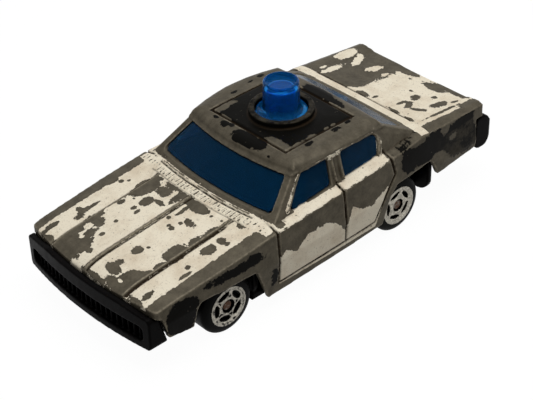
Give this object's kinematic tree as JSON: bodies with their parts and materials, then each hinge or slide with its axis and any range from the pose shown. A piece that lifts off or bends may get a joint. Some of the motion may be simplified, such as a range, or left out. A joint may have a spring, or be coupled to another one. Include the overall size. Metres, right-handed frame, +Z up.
{
  "type": "toy police car",
  "caption": "Pocket-size die-cast toy police sedan with worn cream and black paint, blue glazing, a blue roof light and sprung free-rolling wheels.",
  "frame": {"origin": "middle of the car's bounding box on the ground under the tyres", "axes": "+X towards the front bumper, +Y towards the car's left side, +Z up"},
  "size_m": [0.0812, 0.0344, 0.0291],
  "materials": {
    "painted_casting": "gloss",
    "black_plastic": "gloss",
    "blue_plastic": "gloss",
    "grey_plastic": "matte",
    "spring_plastic": "matte",
    "axle_steel": "satin",
    "wheel_plastic": "satin"
  },
  "bodies": {
    "car": {"body_shell": "painted_casting", "base_plate": "black_plastic", "window_insert": "blue_plastic", "cabin_floor": "grey_plastic", "front_leaf_spring": "spring_plastic", "rear_leaf_spring": "spring_plastic"},
    "front_axle_set": {"front_axle": "axle_steel"},
    "rear_axle_set": {"rear_axle": "axle_steel"},
    "wheel_front_left": {"front_left_wheel": "wheel_plastic"},
    "wheel_front_right": {"front_right_wheel": "wheel_plastic"},
    "wheel_rear_left": {"rear_left_wheel": "wheel_plastic"},
    "wheel_rear_right": {"rear_right_wheel": "wheel_plastic"}
  },
  "joints": [
    {"name": "front_axle_travel", "type": "slide", "parent": "car", "child": "front_axle_set", "axis": [0, 0, 1], "range_m": [0, 0.0008], "stiffness_N_per_m": 60, "springref_m": -0.0026, "deforming": ["front_leaf_spring"]},
    {"name": "rear_axle_travel", "type": "slide", "parent": "car", "child": "rear_axle_set", "axis": [0, 0, 1], "range_m": [0, 0.0008], "stiffness_N_per_m": 60, "springref_m": -0.0045, "deforming": ["rear_leaf_spring"]},
    {"name": "front_left_spin", "type": "hinge", "parent": "front_axle_set", "child": "wheel_front_left", "pos_m": [0.0233, 0.0139, 0.0052], "axis": [0, 1, 0], "continuous": true},
    {"name": "front_right_spin", "type": "hinge", "parent": "front_axle_set", "child": "wheel_front_right", "pos_m": [0.0233, -0.0139, 0.0052], "axis": [0, 1, 0], "continuous": true},
    {"name": "rear_left_spin", "type": "hinge", "parent": "rear_axle_set", "child": "wheel_rear_left", "pos_m": [-0.0161, 0.0139, 0.0052], "axis": [0, 1, 0], "continuous": true},
    {"name": "rear_right_spin", "type": "hinge", "parent": "rear_axle_set", "child": "wheel_rear_right", "pos_m": [-0.0161, -0.0139, 0.0052], "axis": [0, 1, 0], "continuous": true}
  ]
}
